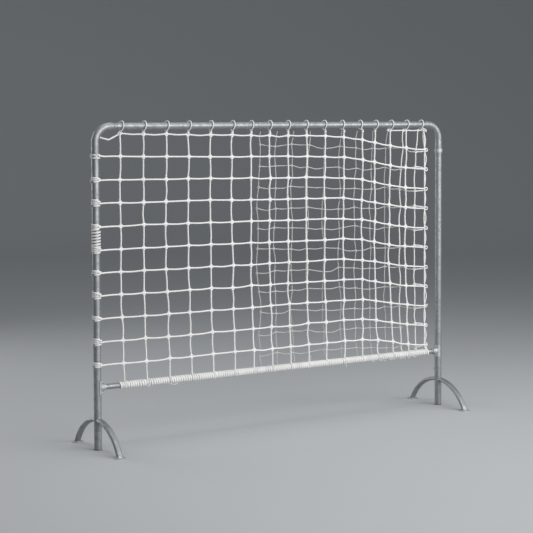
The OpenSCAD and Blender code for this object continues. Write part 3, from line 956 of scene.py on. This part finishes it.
class REBOUNDER_OT_stage(bpy.types.Operator):
    """Sets the floor, the soft lights and the camera"""

    bl_idname = "rebounder.stage"
    bl_label = "Stage"

    def execute(self, context):
        settings = context.scene.rebounder_stage
        self.cove(settings.floor)
        for name, at, target, size, power in (
            ("key_light", (1.3, -4.1, 2.3), (0.0, 0, 0.9), (7.4, 2.6), 140),
            ("rear_light", (-2.4, 4.2, 1.9), (0.0, 0, 1.0), (2.4, 2.6), 34),
            ("top_light", (0.0, -0.4, 4.4), (0.0, 0, 0.5), (4.0, 2.0), 24),
        ):
            self.soft_box(name, at, target, size, power * settings.power)
        world = bpy.data.worlds.new("studio")
        world.use_nodes = True
        sky = world.node_tree.nodes["Background"]
        sky.inputs["Color"].default_value = linear("#C8CCD0")
        sky.inputs["Strength"].default_value = 0.4
        context.scene.world = world
        context.scene.view_settings.view_transform = "Standard"
        self.camera(context, settings.lens)
        return {"FINISHED"}

    def cove(self, colour):
        """A pale matt floor that sweeps up into a low round wall: height is 0 out to the floor's reach, then
        rises as a quarter circle."""
        floor, wall, sides = 10, 5, 128
        turn = round_angles(sides)
        sweep = np.radians(np.linspace(0, 90, 16))
        reach = np.concatenate([[2.0, 6.0], floor + wall * np.sin(sweep)])
        height = np.concatenate([[0.0, 0.0], wall - wall * np.cos(sweep)])
        grid = (np.outer(reach, np.cos(turn)), np.outer(reach, np.sin(turn)), np.outer(height, 1 + 0 * turn))
        points = np.concatenate([np.stack(grid, axis=-1).reshape(-1, 3), [[0, 0, 0]]])
        ring, side = np.arange(len(reach) - 1)[:, None] * sides, np.arange(sides)[None, :]
        beside = (side + 1) % sides
        quads = [ring + side, ring + sides + side, ring + sides + beside, ring + beside]
        quads = np.stack([q + 0 * side for q in quads], axis=-1).reshape(-1, 4)
        middle = np.stack([side[0] * 0 + len(points) - 1, side[0], beside[0]], axis=-1)
        mesh = bpy.data.meshes.new("cove")
        mesh.from_pydata(points.tolist(), [], quads.tolist() + middle.tolist())
        mesh.polygons.foreach_set("use_smooth", [True] * len(mesh.polygons))
        finish, _, shader = new_finish("pale_matt_paint")
        shader.inputs["Base Color"].default_value = tuple(colour)
        shader.inputs["Roughness"].default_value = 0.8
        mesh.materials.append(finish)
        made = bpy.data.objects.new("cove", mesh)
        bpy.context.collection.objects.link(made)

    def soft_box(self, name, at, target, size, power):
        """A rectangular soft light turned to its target."""
        light = bpy.data.lights.new(name, "AREA")
        light.shape, light.size, light.size_y, light.energy = "RECTANGLE", *size, power
        light.spread = math.radians(125)
        made = bpy.data.objects.new(name, light)
        made.location = at
        made.visible_camera = False
        made.rotation_euler = (Vector(target) - Vector(at)).to_track_quat("-Z", "Y").to_euler()
        bpy.context.collection.objects.link(made)

    def camera(self, context, lens):
        """Camera at a standing player's eye, to the left of the frame's middle, turned by azimuth, pitch and
        roll."""
        azimuth, pitch, roll = (math.radians(a) for a in (-32.945, 2.994, -0.24))
        level_reach = math.cos(pitch)
        back = Vector((math.sin(azimuth) * level_reach, -math.cos(azimuth) * level_reach, math.sin(pitch)))
        right = Vector((0, 0, 1)).cross(back).normalized()
        up = back.cross(right)
        level = Matrix((right, up, back)).transposed()
        data = bpy.data.cameras.new("camera")
        data.sensor_width, data.lens, data.shift_y = 36, lens, -0.12
        made = bpy.data.objects.new("camera", data)
        turned = level @ Matrix.Rotation(roll, 3, "Z")
        made.matrix_world = Matrix.Translation((-4.086, -6.188, 1.490)) @ turned.to_4x4()
        context.collection.objects.link(made)
        context.scene.camera = made


class REBOUNDER_PT_panel(bpy.types.Panel):
    """Lists the steps of the build and the sizes and colours they use"""

    bl_idname = "REBOUNDER_PT_panel"
    bl_label = "Rebounder"
    bl_space_type = "VIEW_3D"
    bl_region_type = "UI"
    bl_category = "Rebounder"

    def draw(self, context):
        for settings in GROUPS:
            group = getattr(context.scene, settings)
            for name in group.bl_rna.properties.keys():
                if name not in ("rna_type", "name"):
                    self.layout.prop(group, name)
        for step in STEPS:
            self.layout.operator(step.bl_idname)


STEPS = (
    REBOUNDER_OT_stage,
    REBOUNDER_OT_front_net,
    REBOUNDER_OT_edge,
    REBOUNDER_OT_rear_net,
    REBOUNDER_OT_loops,
    REBOUNDER_OT_side_lashing,
    REBOUNDER_OT_bottom_lashing,
    REBOUNDER_OT_welds,
    REBOUNDER_OT_finishes,
)
GROUPS = {"rebounder_sizes": NetSizes, "rebounder_colours": FinishColours, "rebounder_stage": StageSettings}


def register():
    """Registers the classes and puts their settings on the scene."""
    for cls in (*GROUPS.values(), *STEPS, REBOUNDER_PT_panel):
        bpy.utils.register_class(cls)
    for name, group in GROUPS.items():
        setattr(bpy.types.Scene, name, bpy.props.PointerProperty(type=group))


def unregister():
    """Takes the settings and the classes away again."""
    for name in GROUPS:
        delattr(bpy.types.Scene, name)
    for cls in (REBOUNDER_PT_panel, *reversed(STEPS), *reversed(GROUPS.values())):
        bpy.utils.unregister_class(cls)


def main():
    """Runs every step in order."""
    register()
    for step in STEPS:
        name = step.bl_idname.split(".")[1]
        getattr(bpy.ops.rebounder, name)()


if __name__ == "__main__":
    main()
